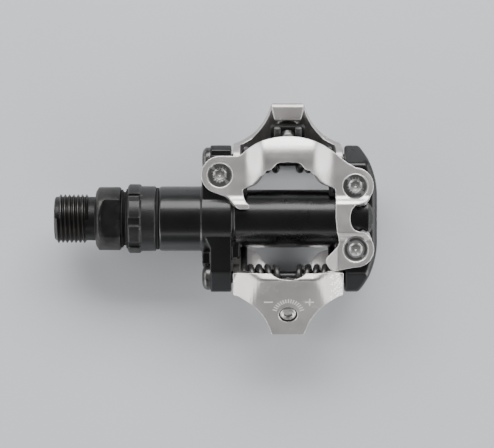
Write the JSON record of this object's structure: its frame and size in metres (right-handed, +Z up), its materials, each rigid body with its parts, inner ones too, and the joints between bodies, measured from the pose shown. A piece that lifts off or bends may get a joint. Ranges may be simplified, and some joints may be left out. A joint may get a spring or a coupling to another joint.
{
  "type": "clipless bicycle pedal",
  "caption": "Right-hand double-sided clipless bicycle pedal with sprung rear claws, fixed front plates, a threaded spindle and its bearings.",
  "frame": {"origin": "on the spindle axis, in the plane of the shoulder that seats on the crank", "axes": "+X along the spindle, away from the crank; +Y forward, towards the front plate of the upper side; +Z up"},
  "size_m": [0.0944, 0.068, 0.029],
  "materials": {
    "blackened_steel": "satin black oxide with worn lighter edges",
    "seal_rubber": "matte rubber",
    "lock_bolt_black": "semi-matte moulded",
    "bush_plastic": "plain moulded",
    "bearing_steel": "ground and polished",
    "zinc_steel": "zinc plated",
    "body_paint": "gloss black paint",
    "plate_steel": "satin plated",
    "claw_steel": "satin plated",
    "screw_steel": "satin",
    "pin_steel": "black oxide",
    "spring_steel": "black oxide",
    "black_plate": "black"
  },
  "bodies": {
    "spindle": {"spindle": "blackened_steel", "bearing_cone": "bearing_steel", "lock_nut": "zinc_steel"},
    "inboard_balls": {"inboard_balls": "bearing_steel"},
    "outboard_balls": {"outboard_balls": "bearing_steel"},
    "pedal": {"pedal_body": "body_paint", "lock_bolt": "lock_bolt_black", "lock_bolt_o_ring": "seal_rubber", "dust_seal": "seal_rubber", "spindle_bush": "bush_plastic", "bearing_sleeve": "bearing_steel", "top_front_plate": "plate_steel", "top_plate_screws": "screw_steel", "top_claw_pin": "pin_steel", "top_inboard_spring": "spring_steel", "top_outboard_spring": "spring_steel", "bottom_front_plate": "plate_steel", "bottom_plate_screws": "screw_steel", "bottom_claw_pin": "pin_steel", "bottom_inboard_spring": "spring_steel", "bottom_outboard_spring": "spring_steel"},
    "top_claw": {"top_rear_claw": "claw_steel"},
    "top_bolt": {"top_tension_bolt": "screw_steel"},
    "top_slider": {"top_tension_plate": "black_plate"},
    "bottom_claw": {"bottom_rear_claw": "claw_steel"},
    "bottom_bolt": {"bottom_tension_bolt": "screw_steel"},
    "bottom_slider": {"bottom_tension_plate": "black_plate"}
  },
  "joints": [
    {"name": "pedal_spin", "type": "hinge", "parent": "spindle", "child": "pedal", "pos_m": [0, 0, 0], "axis": [1, 0, 0], "continuous": true},
    {"name": "inboard_balls_orbit", "type": "hinge", "parent": "spindle", "child": "inboard_balls", "pos_m": [0.054, 0, 0], "axis": [1, 0, 0], "continuous": true},
    {"name": "outboard_balls_orbit", "type": "hinge", "parent": "spindle", "child": "outboard_balls", "pos_m": [0.068, 0, 0], "axis": [1, 0, 0], "continuous": true},
    {"name": "top_claw_release", "type": "hinge", "parent": "pedal", "child": "top_claw", "pos_m": [0.0563, -0.0172, 0], "axis": [1, 0, 0], "range_deg": [0, 15], "stiffness_Nm_per_rad": 1, "springref_deg": -68.75, "deforming": ["top_inboard_spring", "top_outboard_spring"]},
    {"name": "top_bolt_turn", "type": "hinge", "parent": "top_claw", "child": "top_bolt", "pos_m": [0.0563, -0.0281, 0.00732], "axis": [0, -0.5721, 0.8202], "range_deg": [-541, 541]},
    {"name": "top_plate_travel", "type": "slide", "parent": "top_claw", "child": "top_slider", "axis": [0, -0.5721, 0.8202], "range_m": [-0.00105, 0.00105]},
    {"name": "bottom_claw_release", "type": "hinge", "parent": "pedal", "child": "bottom_claw", "pos_m": [0.0563, 0.0172, 0], "axis": [1, 0, 0], "range_deg": [0, 15], "stiffness_Nm_per_rad": 1, "springref_deg": -68.75, "deforming": ["bottom_inboard_spring", "bottom_outboard_spring"]},
    {"name": "bottom_bolt_turn", "type": "hinge", "parent": "bottom_claw", "child": "bottom_bolt", "pos_m": [0.0563, 0.0281, -0.00732], "axis": [0, 0.5721, -0.8202], "range_deg": [-541, 541]},
    {"name": "bottom_plate_travel", "type": "slide", "parent": "bottom_claw", "child": "bottom_slider", "axis": [0, 0.5721, -0.8202], "range_m": [-0.00105, 0.00105]}
  ],
  "couplings": [
    {"joint": "inboard_balls_orbit", "follows": "pedal_spin", "ratio": 0.619},
    {"joint": "outboard_balls_orbit", "follows": "pedal_spin", "ratio": 0.619},
    {"joint": "top_bolt_turn", "follows": "top_plate_travel", "rad_per_m": 8976},
    {"joint": "bottom_bolt_turn", "follows": "bottom_plate_travel", "rad_per_m": 8976}
  ]
}
